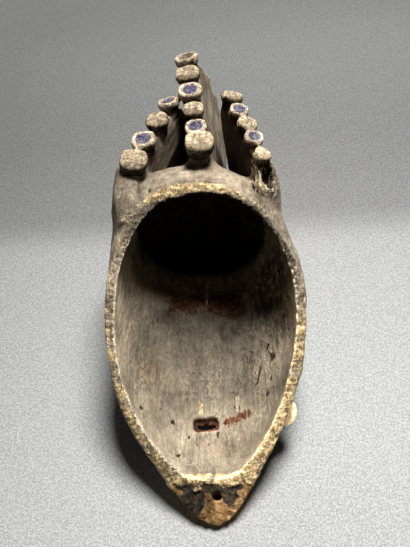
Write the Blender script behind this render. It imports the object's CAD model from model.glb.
"""A carved wooden helmet mask lying on its face, seen from the open back of the head.

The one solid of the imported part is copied, remeshed finely, eased and then worked over the way the
real one was: adze marks, worn pegs with blue pigment in their dishes, a gnawed rim, checks along the
grain, and a smoothed face underneath. Lengths are millimetres from the chin tip, as in the part's
source, until the mesh is written back in metres.
"""

import math

import bmesh
import bpy
import numpy as np
from mathutils import Matrix, Vector
from mathutils.bvhtree import BVHTree
from mathutils.kdtree import KDTree


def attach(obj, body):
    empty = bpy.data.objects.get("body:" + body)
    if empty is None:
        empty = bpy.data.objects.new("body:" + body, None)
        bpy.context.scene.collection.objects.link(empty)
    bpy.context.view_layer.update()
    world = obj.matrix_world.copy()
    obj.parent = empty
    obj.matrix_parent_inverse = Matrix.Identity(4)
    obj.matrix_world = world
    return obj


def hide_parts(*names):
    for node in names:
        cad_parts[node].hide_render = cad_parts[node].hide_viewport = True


# Millimetres in a metre. A noise's scale is this over the size of its patches
METRE = 1000.0

# The chin tip's place in the part's own frame, in millimetres
CHIN_TIP = np.array([1.035, -255.5, 0.0])

# The slanted cut that opens the back of the head, as in the part's source
CUT_START = 8.0
CUT_SLOPE = 0.649
CUT_TOP = 284.0
HOLLOW_CENTRE = np.array([-3.0, 190.0, 112.0])

# The size of the fine mesh's faces in millimetres, and the most triangles that the finished piece has
FINE_STEP = 1.7
MOST_TRIANGLES = 190_000

scene = bpy.context.scene
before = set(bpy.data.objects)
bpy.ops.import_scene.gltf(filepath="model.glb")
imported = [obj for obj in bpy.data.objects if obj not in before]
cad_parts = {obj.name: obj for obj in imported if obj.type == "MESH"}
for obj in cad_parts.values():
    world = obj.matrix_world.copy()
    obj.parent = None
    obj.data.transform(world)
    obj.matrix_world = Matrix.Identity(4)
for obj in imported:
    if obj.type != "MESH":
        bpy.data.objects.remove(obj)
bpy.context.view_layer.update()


def smoothstep(low, high, value):
    """0 below low, rising smoothly to 1 at high"""
    t = np.clip((value - low) / (high - low), 0, 1)
    return t * t * (3 - 2 * t)


def falling(low, high, value):
    """1 below low, falling smoothly to 0 at high"""
    return 1 - smoothstep(low, high, value)


def scrambled(cells, seed):
    """A random number from 0 to 1 for each whole-numbered cell. The large numbers only scramble it"""
    mixed = np.full(len(cells), seed * 2654435761 % 2**32, np.uint64)
    for axis, factor in enumerate((73856093, 19349663, 83492791)):
        mixed = mixed ^ (cells[:, axis].astype(np.int64).astype(np.uint64) * np.uint64(factor))
        mixed = (mixed ^ (mixed >> np.uint64(29))) * np.uint64(0xBF58476D1CE4E5B9)
    mixed = mixed ^ (mixed >> np.uint64(32))
    return (mixed & np.uint64(0xFFFFFF)).astype(float) / 0xFFFFFF


def clouds(points, size, seed):
    """Smooth random values from about -1 to 1, whose lumps have one size or a size along each axis"""
    # Each seed reads another part of the same endless pattern
    p = points / np.asarray(size, float) + 17.3 * seed
    cell = np.floor(p)
    part = p - cell
    ease = part**3 * (part * (6 * part - 15) + 10)
    total = np.zeros(len(p))
    for corner in np.ndindex(2, 2, 2):
        at = cell + corner
        weight = np.prod(np.where(np.array(corner), ease, 1 - ease), axis=1)
        slopes = [2 * scrambled(at, 3 * seed + k + 1) - 1 for k in range(3)]
        total += weight * sum(slopes[k] * (part[:, k] - corner[k]) for k in range(3))
    return 1.6 * total


def near(points, centre, radii):
    """1 at the centre of a lump, falling smoothly to 0 at its radii"""
    away = ((points - np.asarray(centre, float)) / np.asarray(radii, float)) ** 2
    return np.clip(1 - away.sum(axis=1), 0, 1)


def stroke(points, start, end, width):
    """1 along a straight stroke, falling to 0 at half its width"""
    start = np.asarray(start, float)
    along = np.asarray(end, float) - start
    t = np.clip((points - start) @ along / (along @ along), 0, 1)
    away = np.linalg.norm(points - start - t[:, None] * along, axis=1)
    return np.clip(1 - away / (0.5 * width), 0, 1)


def scoops(points, size, seed):
    """Shallow hollows with sharp ridges between them, as an adze leaves"""
    return 0.3 - np.abs(clouds(points, size, seed))


def veins(points, size, seed, width):
    """1 along wandering thin lines, falling to 0 on both sides"""
    return np.clip(1 - np.abs(clouds(points, size, seed)) / width, 0, 1)


# The fine mesh

def fine_mesh(node):
    """An object with a closed mesh of small even faces over a CAD node"""
    mesh = node.data.copy()
    merged = bmesh.new()
    merged.from_mesh(mesh)
    bmesh.ops.remove_doubles(merged, verts=merged.verts, dist=1e-6)
    merged.to_mesh(mesh)
    merged.free()
    body = bpy.data.objects.new("fine_mask", mesh)
    scene.collection.objects.link(body)
    remesh = body.modifiers.new("even_faces", "REMESH")
    remesh.mode = "VOXEL"
    remesh.voxel_size = FINE_STEP / METRE
    evaluated = body.evaluated_get(bpy.context.evaluated_depsgraph_get())
    fine = bpy.data.meshes.new_from_object(evaluated)
    body.modifiers.remove(remesh)
    body.data = fine
    return body


def read_points(mesh):
    """The mesh's points in millimetres from the chin tip"""
    flat = np.zeros(3 * len(mesh.vertices))
    mesh.vertices.foreach_get("co", flat)
    return flat.reshape(-1, 3) * METRE - CHIN_TIP


def write_points(mesh, points):
    """Points in millimetres from the chin tip, put back into the mesh in metres"""
    mesh.vertices.foreach_set("co", ((points + CHIN_TIP) / METRE).ravel())
    mesh.update()


def read_normals(mesh):
    """The outward direction at each point"""
    flat = np.zeros(3 * len(mesh.vertices))
    mesh.vertex_normals.foreach_get("vector", flat)
    return flat.reshape(-1, 3)


def neighbours(mesh):
    """The two points of each edge"""
    flat = np.zeros(2 * len(mesh.edges), int)
    mesh.edges.foreach_get("vertices", flat)
    return flat.reshape(-1, 2)


def averaged(values, edges):
    """The mean of each point's neighbours"""
    count = len(values)
    a, b = edges.T
    total = np.empty_like(values)
    for k in range(values.shape[1]):
        total[:, k] = np.bincount(a, values[b, k], count) + np.bincount(b, values[a, k], count)
    return total / np.bincount(edges.ravel(), minlength=count)[:, None]


def eased(values, edges, amount, rounds):
    """Values drawn towards the mean of their neighbours, round after round"""
    for _ in range(rounds):
        values = values + amount * (averaged(values, edges) - values)
    return values


def sees_opening(points, normals, mesh):
    """1 where a point looks straight into the middle of the hollow"""
    tree = BVHTree.FromPolygons(
        [Vector(p) for p in points],
        [tuple(face.vertices) for face in mesh.polygons],
    )
    toward = HOLLOW_CENTRE - points
    reach = np.linalg.norm(toward, axis=1)
    toward /= reach[:, None]
    facing = (toward * normals).sum(axis=1)
    seen = np.zeros(len(points))
    # Each ray starts a little off the surface, so as not to hit it, and stops short of the middle
    for i in np.flatnonzero(facing > 0.02):
        start = Vector(points[i] + 1.2 * normals[i])
        hit = tree.ray_cast(start, Vector(toward[i]), reach[i] - 3)
        seen[i] = hit[0] is None
    return seen


mask = fine_mesh(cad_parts["mask"])
places = read_points(mask.data)
normals = read_normals(mask.data)
edges = neighbours(mask.data)
x, y, z = places.T
# How far each point lies from the plane of the slanted cut, on its open side
above_cut = (z - CUT_START - CUT_SLOPE * y) / math.hypot(1, CUT_SLOPE)
hollow = sees_opening(places, normals, mask.data)


# The places of the carving, in millimetres from the chin tip
FACE_X = -5.0
HAIRLINE_Y = 286.0
EYE_Y = 234.0
EYE_SPREAD = 31.0
NOSE_BASE_Y = 118.0
CHIN_HOLE = (3, 25, 0)
SLOT_PLACE = (FACE_X - 2, 96.5, 22)
SPLINTERED_ROOT = (66, 290, 184)
RIGHT_WALL = (66, 214, 68)
LEFT_EAR = (-84, 128, 58)
RIGHT_EAR = (88, 145, 58)
EAR_RADII = (26, 52, 30)
LEFT_LOBE = (-77, 82, 42)
RIGHT_LOBE = (80, 99, 42)
LOBE_RADII = (18, 20, 16)

# The heads of the pegs: the middle of the end, the radius, dished or flat, and how much blue is left in it
PEGS = [
    ((0.5, 319.0, 209.0), 14.6, False, 0.0),
    ((-4.3, 347.8, 199.7), 11.6, True, 1.0),
    ((-7.2, 377.8, 195.9), 11.6, False, 0.0),
    ((-10.9, 408.9, 192.8), 12.8, True, 1.0),
    ((-14.6, 441.9, 188.5), 13.4, False, 0.0),
    ((-17.1, 476.2, 182.3), 13.6, True, 0.0),
    ((-66.0, 310.0, 196.0), 14.4, False, 0.0),
    ((-58.0, 339.5, 193.9), 12.6, True, 1.0),
    ((-45.7, 370.5, 190.2), 12.4, False, 0.0),
    ((-35.7, 403.6, 183.4), 11.6, True, 0.5),
    ((62.9, 311.0, 192.2), 9.6, False, 0.0),
    ((55.1, 334.4, 193.7), 10.0, True, 1.0),
    ((49.7, 357.4, 190.4), 10.9, False, 0.0),
    ((41.7, 380.4, 188.0), 10.2, True, 1.0),
    ((35.0, 407.4, 183.7), 11.8, False, 0.0),
]

# Places times this have no height, for marks that are the same at every height
FLAT = (1, 1, 0)

# The rounds of easing, and the share of it that still reaches edges and features, and the pegs
EASING_ROUNDS = 70
LEAST_EASED = 0.10
PEGS_EASED = 0.05


def broadly_shaped():
    """How much each place may be eased: 1 on plain broad surfaces, little on pegs, edges and features"""
    share = np.full(len(places), LEAST_EASED)
    across = np.abs(x - FACE_X)
    plain_side = smoothstep(42, 62, z) * smoothstep(20, 45, y) * falling(262, 276, y) * (1 - hollow)
    ears = np.maximum(near(places, LEFT_EAR, EAR_RADII), near(places, RIGHT_EAR, EAR_RADII))
    plain_side *= falling(0.0, 0.3, ears)
    cheek = smoothstep(30, 44, across) * smoothstep(108, 122, y) * falling(208, 218, y)
    cheek *= falling(50, 62, z) * (1 - hollow)
    chin_side = falling(68, 80, y) * smoothstep(30, 44, y) * (1 - hollow)
    # The mouth's slot, the two eye slits and the chin's hole keep their edges
    slots = np.maximum.reduce([
        near(places, SLOT_PLACE, (26, 16, 22)),
        near(places, (FACE_X - EYE_SPREAD, EYE_Y, 38), (24, 12, 22)),
        near(places, (FACE_X + EYE_SPREAD, EYE_Y, 38), (24, 12, 22)),
        near(places, (3, 24, 15), (10, 10, 30)),
    ])
    inner = hollow * falling(0.0, 0.4, slots) * smoothstep(40, 52, y)
    crown = smoothstep(276, 290, y) * falling(318, 330, y) * (1 - hollow)
    crown *= falling(194, 199, z) * smoothstep(90, 120, z)
    for amount, shaped in ((1, plain_side), (0.7, cheek), (0.8, chin_side), (1, inner), (0.3, crown)):
        share = np.maximum(share, amount * shaped)
    near_rim = smoothstep(-8, -3, above_cut) * falling(CUT_TOP, CUT_TOP + 4, y)
    share = share * (1 - near_rim) + LEAST_EASED * near_rim
    pegs = smoothstep(300, 306, y) * smoothstep(176, 184, z)
    return np.where(pegs > 0.5, np.minimum(share, PEGS_EASED), share)


places = eased(places, edges, 0.5 * broadly_shaped()[:, None], EASING_ROUNDS)
write_points(mask.data, places)
normals = read_normals(mask.data)
x, y, z = places.T


# Parts of the mask, each 1 on it and 0 away from it

in_crown = hollow * smoothstep(232, 250, y)
on_crest = smoothstep(300, 322, y) * (1 - hollow)
rim = smoothstep(-3.5, -1.0, above_cut) * falling(CUT_TOP - 4, CUT_TOP, y) * (np.abs(above_cut) < 6)
# On the upper left the rim ends at a slanting line, where the crown's side starts
rim *= 1 - (y > 245) * (x < -80 + 1.09 * (y - 252))
outside = (1 - hollow) * (1 - rim)
# The edge between the chin's flat face and the ridge above it wanders
ragged_y = y + 8 * clouds(places, (11, 9, 9), 32) + 2.5 * clouds(places, 4.5, 34)
chin_face = (np.abs(above_cut) < 4) * falling(32, 35, ragged_y)
chin_ridge = smoothstep(31, 34, ragged_y) * falling(40, 47, ragged_y) * (above_cut > -9) * (np.abs(x) < 46)
splintered = smoothstep(0, 0.4, near(places, SPLINTERED_ROOT, (22, 24, 26)))
cracked_wall = hollow * smoothstep(0, 0.5, near(places, RIGHT_WALL, (34, 62, 44)))


def round_pegs():
    """The peg heads, their ends, dishes, necks, blue pigment, dish rims and the sides towards the chin"""
    heads, ends, dishes, necks, pigment, rims, fronts = (np.zeros(len(places)) for _ in range(7))
    for centre, radius, dished, blue_left in PEGS:
        # How many radii each place is from the peg's middle, and how far below its end, in millimetres
        away = np.linalg.norm(places[:, :2] - np.array(centre[:2]), axis=1) / radius
        depth = centre[2] - z
        head = (away < 1.4) * (depth < 10) * (depth > -4)
        end = head * smoothstep(0.3, 0.7, normals[:, 2]) * falling(4, 7, depth)
        heads = np.maximum(heads, head)
        toward_chin = (centre[1] - y) / radius
        fronts = np.maximum(fronts, head * smoothstep(0.0, 0.9, toward_chin) * (0.5 if dished else 1.0))
        ends = np.maximum(ends, end * (away < 1.15))
        necks = np.maximum(necks, (away < 1.3) * smoothstep(7, 10, depth) * falling(16, 24, depth))
        if dished:
            dish = head * falling(0.58, 0.74, away)
            dishes = np.maximum(dishes, dish)
            pigment = np.maximum(pigment, dish * blue_left)
            rims = np.maximum(rims, head * smoothstep(0.55, 0.7, away) * (depth < 5))
    return heads, ends, dishes, necks, pigment, rims, fronts


heads, ends, dishes, necks, pigment, dish_rims, head_fronts = round_pegs()


# The low relief: how far each place is lifted out of the surface or sunk into it, in millimetres

# Adze marks and the grain, all along the mask; in the crown they run across it
lift = 0.8 * clouds(places, (42, 70, 42), 1)
lift += outside * (1 - on_crest) * 0.7 * scoops(places, (13, 30, 13), 2)
lift += on_crest * 0.6 * scoops(places, (11, 24, 9), 3)
long_cuts = 0.5 * scoops(places, (8, 46, 9), 4) + 0.25 * clouds(places, (4, 30, 5), 5)
lift += hollow * (1 - in_crown) * long_cuts
lift += in_crown * 1.6 * scoops(places, (26, 10, 9), 6)
lift += (1 - hollow) * 0.22 * clouds(places, (4, 38, 4), 7)

# Checks: drying cracks along the grain, on the outside, on the cracked right wall and under the chin hole
checked = smoothstep(0.0, 0.3, clouds(places, 34, 21))
lift -= outside * (1 - heads) * checked * 0.8 * veins(places, (8, 60, 8), 22, 0.07)
lift -= cracked_wall * 1.3 * veins(places, (7, 30, 9), 23, 0.16)
lift -= chin_face * 1.2 * veins(places, (7, 16, 9), 24, 0.16)

# Worn and gnawed rim, roughest on the right side of the crown
right_rim = smoothstep(60, 78, x) * smoothstep(160, 190, y) * falling(255, 268, y)
lift += rim * (0.45 * clouds(places, (5, 9, 5), 8) + 0.4 * clouds(places, 3.4, 9))
lift -= rim * 0.9 * veins(places, (8, 12, 8), 25, 0.14)
lift += right_rim * smoothstep(-16, -4, above_cut) * 1.4 * clouds(places, (5, 12, 5), 10)
lift += chin_ridge * (0.6 + 1.9 * clouds(places, (8, 6, 6), 26))
lift += chin_face * clouds(places, (9, 6, 6), 35)

# Splinters where the right crest has lost its lowest peg
lift += splintered * 3.0 * scoops(places, (4, 16, 9), 11)

# The upper lip of the mouth's slot has been pared away to a ragged edge
in_recess = (np.abs(x - SLOT_PLACE[0]) < 14.5) * (np.abs(y - SLOT_PLACE[1]) < 8.5) * (z > 14) * hollow
pared = smoothstep(SLOT_PLACE[1] + 0.5, SLOT_PLACE[1] + 4, y + 1.2 * clouds(places, 4, 36))
lift += in_recess * pared * falling(19.5, 26, z) * 5.0 * (normals[:, 2] > 0.5)

# Fine carving of the face: lids round the eye slits, nostrils, the groove under the nose, a scored hairline
underside = outside * smoothstep(0.1, 0.5, -normals[:, 2]) * (z < 70)
across_eye = (np.abs(x - FACE_X) - EYE_SPREAD) / 18
along_eye = (y - EYE_Y) / np.where(y > EYE_Y, 8.5, 7.0)
from_lid = np.hypot(across_eye, along_eye) - 1
lift += underside * np.exp(-((from_lid / 0.13) ** 2))
for side in (-1, 1):
    nostril = near(places, (FACE_X + side * 7, NOSE_BASE_Y + 1, 9), (4.2, 4.5, 8))
    lift -= 2.2 * smoothstep(0, 0.6, nostril) * (1 - hollow)
lift -= underside * 0.9 * stroke(places * FLAT, (FACE_X, 108, 0), (FACE_X, 116, 0), 8)
above_hairline = y - HAIRLINE_Y + 0.003 * x * x
for offset in (-4.5, 4.5):
    lift -= underside * 0.9 * np.clip(1 - np.abs(above_hairline - offset) / 1.8, 0, 1)

# Pegs cut with a knife, and crevices in the dried pigment of the dished ones
lift += heads * (1 - dishes) * 0.6 * scoops(places, (8, 8, 6), 27)
lift -= dishes * 0.8 * veins(places, 5.0, 12, 0.2)

# The worn flats that the mask rests on stay flat, and nothing sinks below the table
off_table = smoothstep(0.2, 2.5, z)
places = places + (lift * off_table)[:, None] * normals
places[:, 2] = np.maximum(places[:, 2], 0)
write_points(mask.data, places)
normals = read_normals(mask.data)
x, y, z = places.T


# The marks on it, from the photo, in millimetres from the chin tip. A stroke is its start, end and width

CAUGHT_FIBRES = (
    ((26.8, 121, 31), (26.8, 110, 30), 7),
    ((-31, 232, 45), (-38, 230, 46), 5),
    ((-3.7, 229, 45), (-5, 262, 31), 4),
    ((-5, 262, 31), (14, 292, 38), 3.4),
)
SLOT_GROOVE = ((14, 97, 0), (37, 104.5, 0), 15)

# A square scored round the mouth's slot, then scratches beside it and above it
SCORED_STROKES = (
    ((-16.3, 87.7, 25), (-16.3, 75, 24), 3),
    ((-16.3, 75, 24), (4.9, 75, 23), 3),
    ((4.9, 88, 25), (4.9, 75, 23), 4),
    ((0, 111, 27), (33, 112, 31), 4),
    ((48, 120, 38), (51, 104, 37), 4),
    ((54, 121, 41), (56, 106, 40), 4),
    ((36, 176, 42), (40, 150, 40), 3),
    ((-20, 150, 34), (-12, 149, 33), 3),
)
DARK_NICKS = ((-70.6, 105.6, 52.4), (-39.6, 97.3, 29.8), (-24.4, 83.6, 25.2), (-36, 63.5, 28.1))

# Chips above the slot: centre and radius
PALE_CHIPS = (((-11.9, 116.6, 27.8), 3.4), ((-12, 108.3, 26.7), 2.9))

# Stains in the hollow and patches of paint on the chin: strength, centre and radii
STAINS = (
    (1.0, (-58, 140, 60), (34, 70, 44)),
    (0.8, (10, 70, 30), (50, 34, 30)),
)
PAINT_PATCHES = (
    (1.0, (-20, 23, 20), (12, 17, 30)),
    (0.72, (-3, 32, 26), (36, 6, 30)),
    (0.62, (15, 26, 24), (8, 11, 30)),
)


# Zones that several finishes share

def blurred(value, rounds):
    """A value at each point, spread over the surface round it, further with more rounds"""
    return eased(value[:, None], edges, 0.5, rounds)[:, 0]


# Ridges are where a place stands out from its eased surroundings, in millimetres
ridge = ((places - eased(places, edges, 0.5, 24)) * normals).sum(axis=1)
facing_up = normals[:, 2]
facing_left = normals[:, 0] < -0.3
facing_right = normals[:, 0] > 0.3
crown_end = smoothstep(262, 280, y)

# From 0 to 1 across the rim towards the hollow, its two edges, and the band along the hollow's upper side
inner_side = blurred(hollow, 14)
hollow_near = blurred(hollow, 44)
rim_edges = rim * falling(0.55, 0.74, blurred(rim, 10))
beside_crown = (1 - hollow) * smoothstep(232, 250, y) * smoothstep(26, 42, np.abs(x + 6)) * (1 - on_crest)
upper_line = beside_crown * smoothstep(0.03, 0.05, hollow_near) * falling(0.07, 0.1, hollow_near)
upper_rim = beside_crown * smoothstep(0.04, 0.08, hollow_near)

# The lobes of the ears beside the rim, the weathered sides, the crests' sides and the pegs' sides
right_lobe = smoothstep(0, 0.2, near(places, RIGHT_LOBE, LOBE_RADII)) * (1 - hollow) * (1 - rim)
right_lobe *= smoothstep(-0.5, 0.1, facing_up)
left_lobe = smoothstep(0, 0.2, near(places, LEFT_LOBE, LOBE_RADII)) * (1 - hollow) * (1 - rim)
weathered = (1 - hollow) * (1 - on_crest) * smoothstep(36, 60, np.abs(x)) * (1 - rim)
left_crest_inside = on_crest * facing_right * (x < -8)
right_crest_inside = on_crest * facing_left * (x > 12)
head_sides = heads * (1 - dishes) * falling(0.25, 0.6, facing_up)

# The reddish shadow below the crown, two stained parts of the hollow, and the floor of the mouth's slot
into_shadow = y + 7 * clouds(places, (16, 9, 9), 43) + 0.12 * np.abs(x + 10)
red_shadow = hollow * smoothstep(202, 220, into_shadow) * falling(234, 264, into_shadow)
red_shadow *= falling(34, 66, np.abs(x + 4))
stained = sum(strength * hollow * near(places, centre, radii) for strength, centre, radii in STAINS)
recess = (np.abs(x - SLOT_PLACE[0]) < 14) * (np.abs(y - SLOT_PLACE[1]) < 8) * falling(22, 25, z) * (z > 8)

# The chin's round hole, and the border of its flat face, which is broken at the hole
round_hole = smoothstep(0, 0.3, near(places * FLAT, CHIN_HOLE, (5.5, 4.5, 1))) * (1 - hollow) * (y < 34)
chin_border = chin_face * falling(0.62, 0.82, blurred(chin_face, 8))
chin_border *= falling(0, 0.3, near(places * FLAT, CHIN_HOLE, (12, 12, 1)))


# Where each finish lies, from 0 to 1

def bare_rim():
    """Raw yellow wood on the rim: along both its edges, all over it at the top and low on its sides"""
    inner_edge = smoothstep(0.36, 0.5, inner_side)
    outer_edge = falling(0.1, 0.22, inner_side)
    inner_half = smoothstep(0.14, 0.26, inner_side)
    left = x < 0
    top = smoothstep(262, 272, y)
    low_right = falling(130, 215, y)
    share = top * np.where(
        x < -6,
        0.8 * (1 - 0.75 * inner_edge),
        0.66 + 0.2 * outer_edge - 0.66 * inner_half,
    )
    share += (1 - top) * left * (0.22 + 0.52 * rim_edges * smoothstep(150, 190, y) + 0.12 * outer_edge)
    share += left * falling(105, 195, y) * 0.32 * (1 - inner_edge)
    share += (1 - top) * ~left * (0.14 + 0.56 * rim_edges * falling(232, 256, y) + 0.5 * low_right)
    patchy = clouds(places, (9, 15, 9), 33)
    return np.clip(share + 0.3 * patchy, 0, 1) * rim * (1 - chin_face)


def bare_wood():
    """Raw yellow wood on the rim, the chin's ridge and border, worn ridges, fresh splinters and chips"""
    chips = [
        smoothstep(0, 0.25, near(places, centre, (radius, radius, 7)))
        for centre, radius in PALE_CHIPS
    ]
    return np.maximum.reduce([
        bare_rim(),
        0.72 * chin_ridge * (1 - chin_face),
        right_lobe,
        outside * smoothstep(0.6, 1.5, ridge) * 0.5,
        0.6 * splintered * (x < 63) * veins(places, (4, 22, 6), 28, 0.4),
        upper_line * (0.62 + 0.35 * clouds(places, (8, 8, 8), 52)),
        chin_border * (0.62 + 0.3 * clouds(places, (6, 6, 6), 55)),
        *chips,
    ])


def soot():
    """Black of smoke and old dirt: in the crown, between the crests, round the necks of the pegs"""
    sheltered = falling(150, 175, z) * falling(375, 425, y + 12 * clouds(places, (9, 14, 9), 54))
    black = np.maximum.reduce([
        0.95 * hollow * smoothstep(236, 296, y - 0.25 * z),
        0.95 * right_crest_inside,
        0.8 * on_crest * facing_left * (np.abs(x) < 24) * sheltered,
        left_crest_inside * falling(120, 165, z),
        0.6 * left_lobe,
        0.62 * outside * smoothstep(0.25, 0.65, -facing_up) * (1 - on_crest),
        0.9 * necks * falling(-0.1, 0.5, facing_up),
        0.8 * splintered * smoothstep(0.0, 0.9, -ridge),
        0.5 * splintered * (x > 65),
        0.5 * rim * (x > 40) * smoothstep(195, 212, y) * falling(256, 268, y),
        0.85 * rim * smoothstep(0.24, 0.36, inner_side) * smoothstep(236, 256, y) * (x > -14),
        0.5 * head_sides + 0.2 * head_sides * clouds(places, 8, 37),
    ])
    worn_chin = falling(24, 48, y + 9 * clouds(places, (10, 14, 10), 42))
    return np.clip(black * (1 - 0.9 * worn_chin * outside), 0, 1)


def warm_tone():
    """Yellow-brown handled wood: the chin's tip, the shadow below the crown and the stained parts"""
    chin_tip = falling(26, 46, y) * (1 - hollow)
    return np.clip(np.maximum.reduce([0.95 * chin_tip, 0.5 * red_shadow, 0.5 * stained]), 0, 1)


def kaolin():
    """White clay on the rims of the dishes, pale dust beside the hollow's top, and fibres caught inside"""
    fibres = [stroke(places, *fibre) ** 0.5 for fibre in CAUGHT_FIBRES]
    dusted_rim = upper_rim * (0.53 + 0.3 * clouds(places, (7, 7, 7), 53))
    clay = 0.85 * dish_rims * (facing_up > 0.1)
    return np.clip(np.maximum.reduce([clay, dusted_rim, *fibres]), 0, 1)


def red_brown_stain():
    """Red-brown: the shadow below the crown, the bottom of the slot and the groove beside it"""
    groove = np.clip(1.6 * stroke(places * FLAT, *SLOT_GROOVE) - 0.35, 0, 1)
    return np.clip(np.maximum.reduce([
        0.62 * red_shadow + 0.36 * red_shadow * clouds(places, (20, 9, 10), 44),
        recess * (0.72 + 0.3 * clouds(places, 6, 38)),
        groove * hollow * (z < 60),
    ]), 0, 1)


def scorched_wood():
    """Dark brown, as if burnt: the bottom of the slot and the chin's round hole"""
    slot_bottom = recess * (0.32 + 0.3 * (x < SLOT_PLACE[0] + 2) + 0.3 * clouds(places, 5, 39))
    return np.maximum(slot_bottom, 0.8 * round_hole)


def reddish_age():
    """A faint reddish brown in the hollow, strongest in its stained parts, and on the outer sides"""
    inside = hollow * (0.15 + 0.08 * falling(110, 190, y) + 0.12 * stained)
    return inside + weathered * np.where(x < 0, 0.26, 0.16)


def chin_paint():
    """What is left of the dark paint on the chin's flat face, flaked at its border and over the hole"""
    paint = np.maximum.reduce([
        strength * smoothstep(0, 0.4, near(places, centre, radii))
        for strength, centre, radii in PAINT_PATCHES
    ])
    paint *= 1 - 0.75 * chin_border - 0.5 * near(places * FLAT, (2, 22, 0), (16, 10, 1))
    paint = paint * chin_face + 0.3 * chin_face * smoothstep(9, 16, y)
    paint += 0.28 * chin_ridge * (1 - chin_face)
    return np.clip(paint + 0.2 * chin_face * clouds(places, (6, 8, 6), 40), 0, 1)


def dark_lines():
    """A square scored round the slot, scratches and nicks beside it, and crazing on wall and chin"""
    lines = [stroke(places, *line) ** 0.6 for line in SCORED_STROKES]
    nicks = [smoothstep(0, 0.5, near(places, centre, (3, 3, 4))) for centre in DARK_NICKS]
    crazed_wall = hollow * smoothstep(0, 0.5, near(places, (56, 148, 48), (24, 40, 30)))
    crazed_wall *= smoothstep(0.2, 0.7, veins(places, (8, 12, 8), 48, 0.22))
    crazed_chin = chin_face * (y < 30) * smoothstep(0.3, 0.8, veins(places, (9, 4, 9), 56, 0.12))
    crazed = np.maximum(crazed_wall, crazed_chin)
    return np.maximum(0.85 * np.maximum.reduce(lines + nicks), 0.62 * crazed)


def scuffs():
    """How scratched the wood is: all over the hollow, more in patches and on its right"""
    patches = clouds(places, (22, 30, 22), 46) + 0.2 * (x > 25)
    inside = hollow * (0.35 + 0.6 * smoothstep(0.0, 0.4, patches))
    return inside + 0.7 * weathered


crosswise = crown_end * falling(318, 330, y) * (1 - hollow) * (np.abs(x) < 70)
finish = {
    "hollow": hollow,
    "bare": bare_wood(),
    "soot": soot(),
    "gnawed": np.clip(rim * (1 - chin_face) + 0.7 * heads * (1 - dishes) + splintered, 0, 1),
    "warm": warm_tone(),
    "cut": np.clip(0.62 * ends + 0.2 * heads * (1 - ends), 0, 1) * (1 - dishes),
    "blue": pigment,
    "pale": kaolin(),
    "rust": red_brown_stain(),
    "scorched": scorched_wood(),
    "reddish": reddish_age(),
    "painted": chin_paint(),
    "scored": dark_lines(),
    "ridge": np.clip(0.5 + (0.35 - 0.23 * rim) * ridge, 0, 1),
    "crosswise": crosswise,
    "scuffed": scuffs(),
    "mottled": 1 - 0.4 * hollow,
    "streaks": 1 - 0.75 * crosswise - 0.4 * hollow * falling(90, 150, y),
    "rough": np.clip(1 - 0.7 * crosswise - 0.4 * hollow + 0.4 * cracked_wall, 0, 1),
}


# How bright the dust and the wear leave each place, as a factor on the wood's colour

def dust_inside():
    """In the hollow: its low end and its sides are pale, its depth dark"""
    bottom = falling(80, 135, y)
    depth = falling(55, 95, z) * smoothstep(140, 205, y)
    wall = smoothstep(58, 100, z) * smoothstep(90, 150, y) * falling(236, 262, y)
    share = 1.05 + 0.6 * bottom - 0.48 * depth + np.where(x < 0, 1.15, 0.8) * wall
    right_side = smoothstep(40, 60, x) * smoothstep(120, 150, y) * falling(196, 214, y)
    share += 0.85 * right_side
    share += 1.1 * smoothstep(210, 226, y) * falling(262, 284, y) * falling(62, 92, z)
    share *= 1 + 0.14 * clouds(places, (18, 40, 18), 45)
    share *= 1 - 0.3 * near(places, (-2, 192, 38), (66, 54, 60)) ** 0.5
    # The right wall's upper end is dark, cracked and specked with pale dust
    wall_end = y + 8 * clouds(places, (8, 14, 8), 51)
    dark_wall = smoothstep(48, 62, x) * smoothstep(204, 222, wall_end) * falling(258, 275, y)
    share *= 1 - 0.62 * dark_wall
    cracks = veins(places, (7, 26, 9), 49, 0.25)
    specks = smoothstep(0.1, 0.4, clouds(places, (4, 7, 4), 50))
    share *= (1 - 0.6 * cracked_wall ** 0.5 * cracks) * (1 + 1.8 * dark_wall * specks)
    share *= 1 + 1.6 * finish["pale"] * smoothstep(212, 224, y) - 0.3 * red_shadow
    return share


def dust_outside():
    """On the outer shell and the crests: pale on the left side and the right lobe, dark on pegs' sides"""
    share = 1.15 + 0.75 * (x < -40) * falling(240, 262, y)
    crown = crown_end * (1 - on_crest)
    share += crown * (0.1 - np.where(x < 5, 0.34, 0.08) * smoothstep(18, 50, np.abs(x - 5)))
    share += 2.9 * right_lobe - 1.0 * left_lobe - 0.4 * head_sides
    share += 0.14 * on_crest * facing_right * (np.abs(x) < 40)
    share *= 1 + 0.22 * clouds(places, (16, 30, 16), 41)
    share *= 1 - 0.3 * smoothstep(0.05, 0.4, clouds(places, (12, 28, 12), 47)) * (1 - crown)
    share *= 1 - 0.62 * head_fronts
    share *= 1 - 0.5 * upper_rim - 0.22 * weathered * (x < 0) * smoothstep(240, 262, y)
    share *= 1 - 0.45 * left_crest_inside
    share *= 1 - 0.85 * round_hole
    right_shoulder = smoothstep(60, 76, x) * smoothstep(170, 200, y) * falling(256, 275, y)
    share *= 1 - 0.3 * right_shoulder * smoothstep(-22, -6, above_cut)
    share += 0.25 * dish_rims + 0.2 * ends * (1 - dishes)
    return share


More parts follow.
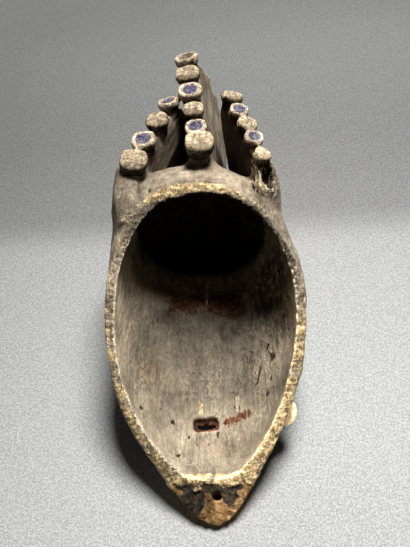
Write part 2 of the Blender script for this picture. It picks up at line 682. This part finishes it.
def dust_on_rim():
    """On the rim: paler where its wood is bare, darker at its inner edge and on the upper right"""
    top = smoothstep(236, 256, y)
    inner_edge = smoothstep(0.36 - 0.1 * top, 0.5 - 0.1 * top, inner_side)
    share = 0.85 + 0.6 * finish["bare"] + 0.62 * chin_face - (0.15 + 0.3 * top) * inner_edge
    share *= 1 - 0.35 * (x > 40) * smoothstep(190, 205, y) * falling(256, 266, y)
    share += 0.35 * (x > 0) * falling(100, 130, y) - 0.38 * (x < 0) * falling(80, 110, y)
    share += 0.34 * (x < 0) * smoothstep(120, 150, y) * falling(222, 248, y)
    share *= 1 - np.where(x < 0, 0.46, 0.3) * upper_rim
    share *= 1 - 0.85 * round_hole
    return share


finish["dust"] = hollow * dust_inside() + outside * dust_outside() + rim * dust_on_rim()


def lighter_mesh(body, values):
    """The body's mesh under the limit of triangles, with each value carried over from the nearest point"""
    fine_points = read_points(body.data)
    triangles = sum(len(face.vertices) - 2 for face in body.data.polygons)
    fewer = body.modifiers.new("fewer_faces", "DECIMATE")
    fewer.ratio = min(1, MOST_TRIANGLES / triangles)
    evaluated = body.evaluated_get(bpy.context.evaluated_depsgraph_get())
    light = bpy.data.meshes.new_from_object(evaluated)
    body.modifiers.remove(fewer)
    body.data = light
    tree = KDTree(len(fine_points))
    for i, point in enumerate(fine_points):
        tree.insert(point, i)
    tree.balance()
    nearest = np.array([tree.find(point)[1] for point in read_points(light)])
    for name, value in values.items():
        layer = light.attributes.new(name, "FLOAT", "POINT")
        layer.data.foreach_set("value", value[nearest].astype(np.float32))
    light.shade_smooth()


lighter_mesh(mask, finish)


# Materials

def linear(hex_colour):
    """An sRGB hex colour as linear RGBA"""
    channels = [int(hex_colour[i:i + 2], 16) / 255 for i in (1, 3, 5)]
    return (*[c / 12.92 if c <= 0.04045 else ((c + 0.055) / 1.055) ** 2.4 for c in channels], 1)


def add(tree, kind, settings=None, links=None):
    """A node with its settings, by socket or property, and its links from other sockets"""
    node = tree.nodes.new(kind)
    for name, value in (settings or {}).items():
        if isinstance(name, str) and hasattr(node, name):
            setattr(node, name, value)
        else:
            node.inputs[name].default_value = value
    for name, source in (links or {}).items():
        tree.links.new(source, node.inputs[name])
    return node


# Noise textures: their size in millimetres across the mask, along it and through it, detail, roughness
TEXTURES = {
    "grain": ((1.2, 30, 1.2), 4.0, 0.65),
    "bands": ((5, 90, 5), 2.0, 0.5),
    "across": ((26, 2.6, 2.6), 4.0, 0.6),
    "mottle": ((4.5, 6, 4.5), 5.0, 0.7),
    "cloud": ((28, 40, 28), 4.0, 0.6),
    "checks": ((3.6, 60, 3.6), 3.0, 0.5),
    "pits": ((1.9, 4.2, 1.9), 2.0, 0.5),
    "nicks": ((5.5, 2.2, 2.2), 3.0, 0.6),
    "scratches": ((10, 15, 10), 2.0, 0.5),
}

# The wood's own dark and light tone, on the outside and in the hollow
AGED_TONES = (("#85745f", "#d0c0a8"), ("#7f7464", "#c0b29b"))

# Dry and never polished: rough, hardly shiny, with a fine relief of its grain, in metres
WOOD_ROUGHNESS = 0.8
WOOD_SHINE = 0.25
GRAIN_RELIEF = 0.001

# How far the grain wanders sideways, in metres, and over what length, in millimetres
WANDER = (0.012, 0.0, 0.012)
WANDER_LENGTH = 50

# Each finish that lies over the wood, the lowest first: its attribute, its two tones, how ragged its
# edge is, the size in millimetres of the patches that tell the tones apart, and the texture of its edge
COATS = [
    ("reddish", "#b7906f", "#93725a", 1.4, 6, "grain"),
    ("warm", "#cba470", "#9a7449", 0.8, 8, "grain"),
    ("cut", "#d6c5a9", "#a69174", 0.7, 5, "mottle"),
    ("soot", "#140e0a", "#40301f", 0.6, 12, "grain"),
    ("bare", "#efd6a6", "#b89a6c", 0.9, 4, "mottle"),
    ("painted", "#2b2a2a", "#61533f", 1.5, 5, "mottle"),
    ("rust", "#96664a", "#5a3424", 0.9, 4, "mottle"),
    ("pale", "#dccdb2", "#a9947a", 0.9, 4, "mottle"),
    ("blue", "#cdc9d2", "#6c679c", 1.3, 3, "mottle"),
    ("scored", "#33261b", "#5c4936", 0.6, 3, "mottle"),
    ("scorched", "#38221a", "#6e4530", 0.5, 3, "mottle"),
]

# Thin lines where a texture crosses a value: the value, half the line's width, how dark or light it is
# and the attribute that says where it counts
LINES = [
    ("checks", 0.5, 0.012, 0.4, "rough"),
    ("scratches", 0.43, 0.03, 1.5, "scuffed"),
    ("scratches", 0.5, 0.025, 0.55, "scuffed"),
    ("scratches", 0.58, 0.03, 1.4, "scuffed"),
    ("nicks", 0.47, 0.02, 0.7, "rough"),
]

# How each texture darkens or lightens the wood: the range it is read over, the range it gives, and
# the attribute that says where it counts
SHADES = [
    ("grain", 0.33, 0.67, 0.68, 1.25, "streaks"),
    ("bands", 0.36, 0.64, 0.86, 1.1, "streaks"),
    ("across", 0.33, 0.67, 0.78, 1.14, "crosswise"),
    ("mottle", 0.33, 0.67, 0.66, 1.26, "mottled"),
    ("pits", 0.62, 0.69, 1.0, 0.45, "rough"),
    ("nicks", 0.6, 0.68, 1.0, 0.72, None),
    ("nicks", 0.3, 0.38, 1.25, 1.0, "rough"),
    ("nicks", 0.38, 0.62, 1.4, 0.6, "gnawed"),
    ("pits", 0.5, 0.62, 1.15, 0.62, "gnawed"),
]


def carved_textures(tree, place):
    """The noise textures, stretched along a grain that wanders"""
    bend = add(
        tree, "ShaderNodeTexNoise", {"Scale": METRE / WANDER_LENGTH, "Detail": 1.0},
        {"Vector": place},
    )
    wavy = add(
        tree, "ShaderNodeVectorMath", {"operation": "MULTIPLY_ADD", 1: WANDER},
        {0: bend.outputs["Color"], 2: place},
    )
    textures = {}
    for name, (size, detail, roughness) in TEXTURES.items():
        scaled = add(
            tree, "ShaderNodeMapping", {"Scale": [METRE / width for width in size]},
            {"Vector": wavy.outputs[0]},
        )
        noise = add(
            tree, "ShaderNodeTexNoise", {"Scale": 1.0, "Detail": detail, "Roughness": roughness},
            {"Vector": scaled.outputs[0]},
        )
        textures[name] = noise.outputs["Fac"]
    return textures


def aged_wood(tree, textures, attributes):
    """The colour of the wood itself, cloudy between a dark and a light tone"""
    tones = []
    for dark, light in AGED_TONES:
        ramp = add(tree, "ShaderNodeValToRGB", links={"Fac": textures["cloud"]})
        for stop, position, tone in zip(ramp.color_ramp.elements, (0.3, 0.66), (dark, light)):
            stop.position = position
            stop.color = linear(tone)
        tones.append(ramp.outputs[0])
    outside_tone, hollow_tone = tones
    mixed = add(
        tree, "ShaderNodeMix", {"data_type": "RGBA"},
        {0: attributes["hollow"], 6: outside_tone, 7: hollow_tone},
    )
    return mixed.outputs[2]


def coated(tree, colour, place, textures, attributes):
    """The wood's colour with each finish laid over it: the higher its attribute, the fewer its gaps"""
    for name, tone, other, ragged, size, edge_texture in COATS:
        patches = add(
            tree, "ShaderNodeTexNoise", {"Scale": METRE / size, "Detail": 4.0, "Roughness": 0.6},
            {"Vector": place},
        )
        sharper = add(
            tree, "ShaderNodeMapRange", {"From Min": 0.4, "From Max": 0.6},
            {"Value": patches.outputs["Fac"]},
        )
        patched = add(
            tree, "ShaderNodeMix", {"data_type": "RGBA", 6: linear(tone), 7: linear(other)},
            {0: sharper.outputs[0]},
        )
        frayed = add(
            tree, "ShaderNodeMath", {"operation": "MULTIPLY_ADD", 1: ragged},
            {0: textures[edge_texture], 2: attributes[name]},
        )
        cover = add(
            tree, "ShaderNodeMapRange",
            {"From Min": 0.5 + ragged * 0.44, "From Max": 0.5 + ragged * 0.56},
            {"Value": frayed.outputs[0]},
        )
        laid = add(
            tree, "ShaderNodeMix", {"data_type": "RGBA"},
            {0: cover.outputs[0], 6: colour, 7: patched.outputs[2]},
        )
        colour = laid.outputs[2]
    return colour


def wear_and_marks(tree, textures, attributes):
    """A factor on the colour: dust, dirt in the carving, worn ridges, grain, pits, checks and scratches"""
    worn = add(
        tree, "ShaderNodeMapRange", {"From Min": 0.2, "From Max": 0.8, "To Min": 0.5, "To Max": 1.25},
        {"Value": attributes["ridge"]},
    )
    dusty = add(
        tree, "ShaderNodeMath", {"operation": "MULTIPLY"},
        {0: worn.outputs[0], 1: attributes["dust"]},
    )
    factor = dusty.outputs[0]
    marks = []
    for name, value, half_width, strength, where in LINES:
        away = add(tree, "ShaderNodeMath", {"operation": "SUBTRACT", 1: value}, {0: textures[name]})
        beside = add(tree, "ShaderNodeMath", {"operation": "ABSOLUTE"}, {0: away.outputs[0]})
        line = add(
            tree, "ShaderNodeMapRange", {"From Max": half_width, "To Min": strength, "To Max": 1.0},
            {"Value": beside.outputs[0]},
        )
        marks.append((line.outputs[0], where))
    for name, low, high, dark, light, where in SHADES:
        shade = add(
            tree, "ShaderNodeMapRange",
            {"From Min": low, "From Max": high, "To Min": dark, "To Max": light},
            {"Value": textures[name]},
        )
        marks.append((shade.outputs[0], where))
    for mark, where in marks:
        if where:
            limited = add(
                tree, "ShaderNodeMix", {"data_type": "FLOAT", 2: 1.0},
                {0: attributes[where], 3: mark},
            )
            mark = limited.outputs[0]
        factor = add(tree, "ShaderNodeMath", {"operation": "MULTIPLY"}, {0: factor, 1: mark}).outputs[0]
    return factor


def weathered_wood(finish_names):
    """Light dry hardwood, carved with an adze: a dull grey-brown with age, rough and hardly shiny"""
    material = bpy.data.materials.new("weathered_carved_wood")
    material.use_nodes = True
    tree = material.node_tree
    tree.nodes.clear()
    place = add(tree, "ShaderNodeTexCoord").outputs["Object"]
    textures = carved_textures(tree, place)
    attributes = {
        name: add(tree, "ShaderNodeAttribute", {"attribute_name": name}).outputs["Fac"]
        for name in finish_names
    }
    wood = aged_wood(tree, textures, attributes)
    colour = coated(tree, wood, place, textures, attributes)
    factor = wear_and_marks(tree, textures, attributes)
    shaded = add(tree, "ShaderNodeVectorMath", {"operation": "SCALE"}, {0: colour, "Scale": factor})
    relief = add(
        tree, "ShaderNodeMath", {"operation": "ADD"},
        {0: textures["grain"], 1: textures["mottle"]},
    )
    bump = add(
        tree, "ShaderNodeBump", {"Strength": 1.0, "Distance": GRAIN_RELIEF},
        {"Height": relief.outputs[0]},
    )
    shader = add(
        tree, "ShaderNodeBsdfPrincipled",
        {"Roughness": WOOD_ROUGHNESS, "Specular IOR Level": WOOD_SHINE},
        {"Base Color": shaded.outputs[0], "Normal": bump.outputs[0]},
    )
    add(tree, "ShaderNodeOutputMaterial", links={"Surface": shader.outputs[0]})
    return material


mask.data.materials.clear()
mask.data.materials.append(weathered_wood(finish))
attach(mask, "root")
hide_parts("mask")


# The floor, in metres

FLOOR_REACH = 4.0

# How far below the part's underside the felt lies, so that the two don't flicker into each other
FLOOR_DROP = 0.0003

# Where the felt darkens behind the mask and where it clears again: from, to, and the shade that it gives
FAR_FELT = ((0.072, 0.14, 0.64), (0.24, 0.5, 1.4))

FELT_TONES = ("#aaadad", "#dbdddd")
FELT_ROUGHNESS = 0.95
FELT_SHINE = 0.1

# The felt's fibres in millimetres, coarser than the real ones, so that they show
FIBRE_SIZE = 1.9


def pale_felt():
    """Matt pale studio felt, pressed from fibres that leave it finely speckled"""
    material = bpy.data.materials.new("pale_studio_felt")
    material.use_nodes = True
    tree = material.node_tree
    place = add(tree, "ShaderNodeTexCoord").outputs["Object"]
    fibres = add(
        tree, "ShaderNodeTexNoise", {"Scale": METRE / FIBRE_SIZE, "Detail": 3.0, "Roughness": 0.7},
        {"Vector": place},
    )
    speckled = add(
        tree, "ShaderNodeMapRange", {"From Min": 0.38, "From Max": 0.62},
        {"Value": fibres.outputs["Fac"]},
    )
    dark, light = FELT_TONES
    felt = add(
        tree, "ShaderNodeMix", {"data_type": "RGBA", 6: linear(dark), 7: linear(light)},
        {0: speckled.outputs[0]},
    )
    colour = felt.outputs[2]
    along = add(tree, "ShaderNodeSeparateXYZ", links={0: place})
    for start, end, shade in FAR_FELT:
        far = add(
            tree, "ShaderNodeMapRange", {
                "From Min": start, "From Max": end, "To Min": 1.0, "To Max": shade,
                "interpolation_type": "SMOOTHSTEP",
            },
            {"Value": along.outputs["Y"]},
        )
        shaded = add(
            tree, "ShaderNodeVectorMath", {"operation": "SCALE"},
            {0: colour, "Scale": far.outputs[0]},
        )
        colour = shaded.outputs[0]
    shader = tree.nodes["Principled BSDF"]
    tree.links.new(colour, shader.inputs["Base Color"])
    shader.inputs["Roughness"].default_value = FELT_ROUGHNESS
    shader.inputs["Specular IOR Level"].default_value = FELT_SHINE
    return material


floor_mesh = bpy.data.meshes.new("floor")
corners = [
    (side * FLOOR_REACH, end * FLOOR_REACH, -FLOOR_DROP)
    for side, end in ((-1, -1), (1, -1), (1, 1), (-1, 1))
]
floor_mesh.from_pydata(corners, [], [(0, 1, 2, 3)])
floor_mesh.materials.append(pale_felt())
floor = bpy.data.objects.new("floor", floor_mesh)
scene.collection.objects.link(floor)


# The light: two spots hung high behind the mask, a weak softbox on its left and a dim room. Places and
# sizes are in metres, cones in degrees, powers in watts

KEY_PLACE = (0.38, 0.85, 2.0)
KEY_RADIUS = 0.4
KEY_COLOUR = "#fffcf8"
CONE_EDGE = 0.14
ROOM_STRENGTH = 0.007


def hang(lamp, place, aim, power, colour):
    """Puts a lamp at a place, turned towards a point"""
    lamp.energy = power
    lamp.color = linear(colour)[:3]
    holder = bpy.data.objects.new(lamp.name, lamp)
    holder.location = place
    holder.rotation_euler = (Vector(aim) - Vector(place)).to_track_quat("-Z", "Y").to_euler()
    scene.collection.objects.link(holder)


def key_spot(name, aim, cone, power):
    """A soft round spot behind the mask, whose cone ends in a gradual edge"""
    lamp = bpy.data.lights.new(name, "SPOT")
    lamp.spot_size = math.radians(cone)
    lamp.spot_blend = CONE_EDGE
    lamp.shadow_soft_size = KEY_RADIUS
    hang(lamp, KEY_PLACE, aim, power, KEY_COLOUR)


def softbox(name, place, aim, size, power, colour):
    """A square lamp with an even face"""
    lamp = bpy.data.lights.new(name, "AREA")
    lamp.shape = "SQUARE"
    lamp.size = size
    hang(lamp, place, aim, power, colour)


key_spot("key_near_half", (0.1, -0.42, 0), 31, 222)
key_spot("key_whole_floor", (0.05, 0.0, 0), 90, 90)
softbox("left_fill", (-1.3, 0.3, 0.5), (0, 0, 0.1), 0.6, 0.5, "#f5f7ff")
world = bpy.data.worlds.new("dim_room")
world.use_nodes = True
world.node_tree.nodes["Background"].inputs["Color"].default_value = (1, 1, 1, 1)
world.node_tree.nodes["Background"].inputs["Strength"].default_value = ROOM_STRENGTH
scene.world = world
scene.view_settings.view_transform = "Standard"


# The camera looks down on the mask from beyond the chin, and is a little rolled

CAMERA_PLACE = (0.0389, -0.4018, 0.6867)
ELEVATION = math.radians(57)
TURN = math.radians(6)
ROLL = math.radians(7.5)
LENS_MM = 44.1
SENSOR_MM = 36

toward_camera = Vector((
    math.sin(TURN) * math.cos(ELEVATION), -math.cos(TURN) * math.cos(ELEVATION), math.sin(ELEVATION),
))
level = Vector((math.cos(TURN), math.sin(TURN), 0))
upward = toward_camera.cross(level)
right = level * math.cos(ROLL) - upward * math.sin(ROLL)
up = level * math.sin(ROLL) + upward * math.cos(ROLL)
lens = bpy.data.cameras.new("camera")
lens.sensor_width = SENSOR_MM
lens.lens = LENS_MM
lens.clip_start = 0.02
camera = bpy.data.objects.new("camera", lens)
turned = Matrix((right, up, toward_camera)).transposed().to_4x4()
camera.matrix_world = Matrix.Translation(CAMERA_PLACE) @ turned
scene.collection.objects.link(camera)
scene.camera = camera
